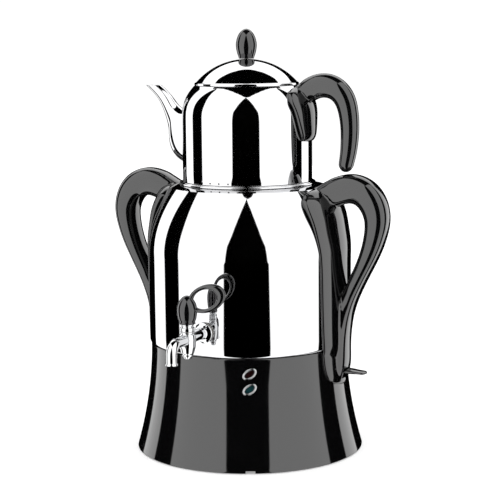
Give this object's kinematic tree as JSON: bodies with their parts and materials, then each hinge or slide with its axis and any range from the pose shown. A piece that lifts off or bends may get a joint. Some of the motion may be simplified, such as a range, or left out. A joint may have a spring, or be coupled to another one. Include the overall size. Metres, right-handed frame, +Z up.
{
  "type": "electric samovar",
  "caption": "Electric tea maker: steel boiler with a front tap on a flared black heating base, and a steel teapot with a domed lid that sits in its mouth.",
  "frame": {"origin": "centre of the base plate's underside, on the axis of the boiler; the rubber feet stand 3 mm below it", "axes": "+Z up the axis of the boiler, the tap points to -Y, the handles and the switch lie along X with the switch at +X, and the teapot's spout points to -X"},
  "size_m": [0.304, 0.2898, 0.4255],
  "materials": {
    "mirror_steel": "mirror polished",
    "bright_chrome": "polished",
    "gloss_black_plastic": "high gloss",
    "dark_plastic": "fine texture",
    "black_rubber": "matt",
    "zinc_plated_steel": "satin",
    "cast_aluminium": "as cast",
    "plain_brass": "machined",
    "pale_silicone": "matt",
    "dark_red_lens": "clear tinted",
    "green_lens": "clear tinted"
  },
  "bodies": {
    "boiler_and_base": {"base_shell": "gloss_black_plastic", "base_plate": "dark_plastic", "plate_screw_1": "zinc_plated_steel", "plate_screw_2": "zinc_plated_steel", "plate_screw_3": "zinc_plated_steel", "plate_screw_4": "zinc_plated_steel", "foot_1": "black_rubber", "foot_2": "black_rubber", "foot_3": "black_rubber", "foot_4": "black_rubber", "boiler": "mirror_steel", "boiler_floor": "mirror_steel", "seat_ring": "mirror_steel", "boiler_stud_1": "zinc_plated_steel", "boiler_stud_2": "zinc_plated_steel", "boiler_stud_3": "zinc_plated_steel", "boiler_nut_1": "zinc_plated_steel", "boiler_nut_2": "zinc_plated_steel", "boiler_nut_3": "zinc_plated_steel", "heat_plate": "cast_aluminium", "heating_element": "zinc_plated_steel", "thermostat": "dark_plastic", "thermal_cutout": "pale_silicone", "terminal_block": "pale_silicone", "handle_left": "gloss_black_plastic", "handle_right": "gloss_black_plastic", "handle_left_screw_lower": "zinc_plated_steel", "handle_left_screw_upper": "zinc_plated_steel", "handle_right_screw_lower": "zinc_plated_steel", "handle_right_screw_upper": "zinc_plated_steel", "tap_body": "bright_chrome", "tap_gasket_outer": "pale_silicone", "tap_gasket_inner": "pale_silicone", "tap_nut": "plain_brass", "tap_gland": "bright_chrome", "lamp_rim_upper": "bright_chrome", "lamp_rim_lower": "bright_chrome", "lamp_lens_upper": "dark_red_lens", "lamp_lens_lower": "green_lens", "lamp_holder": "dark_plastic", "switch_housing": "dark_plastic", "switch_pin": "zinc_plated_steel", "inlet_socket": "dark_plastic", "inlet_pin_line": "plain_brass", "inlet_pin_neutral": "plain_brass", "inlet_pin_earth": "plain_brass"},
    "tap_key_and_plug": {"tap_key": "gloss_black_plastic", "tap_plug": "plain_brass"},
    "switch": {"switch_paddle": "gloss_black_plastic"},
    "teapot": {"teapot_body": "mirror_steel", "teapot_floor": "mirror_steel", "teapot_spout": "mirror_steel", "teapot_handle": "gloss_black_plastic", "teapot_handle_bolt": "zinc_plated_steel"},
    "lid": {"lid_dome": "mirror_steel", "lid_knob": "gloss_black_plastic", "lid_screw": "zinc_plated_steel"}
  },
  "joints": [
    {"name": "tap_turn", "type": "hinge", "parent": "boiler_and_base", "child": "tap_key_and_plug", "pos_m": [0, -0.1356, 0.132], "axis": [0, 0, 1], "range_deg": [-90, 0]},
    {"name": "switch_rock", "type": "hinge", "parent": "boiler_and_base", "child": "switch", "pos_m": [0.0843, 0, 0.083], "axis": [0, 1, 0], "range_deg": [0, 8]},
    {"name": "teapot_lift", "type": "slide", "parent": "boiler_and_base", "child": "teapot", "axis": [0, 0, 1], "range_m": [0, 0.2]},
    {"name": "lid_lift", "type": "slide", "parent": "teapot", "child": "lid", "axis": [0, 0, 1], "range_m": [0, 0.08]}
  ]
}
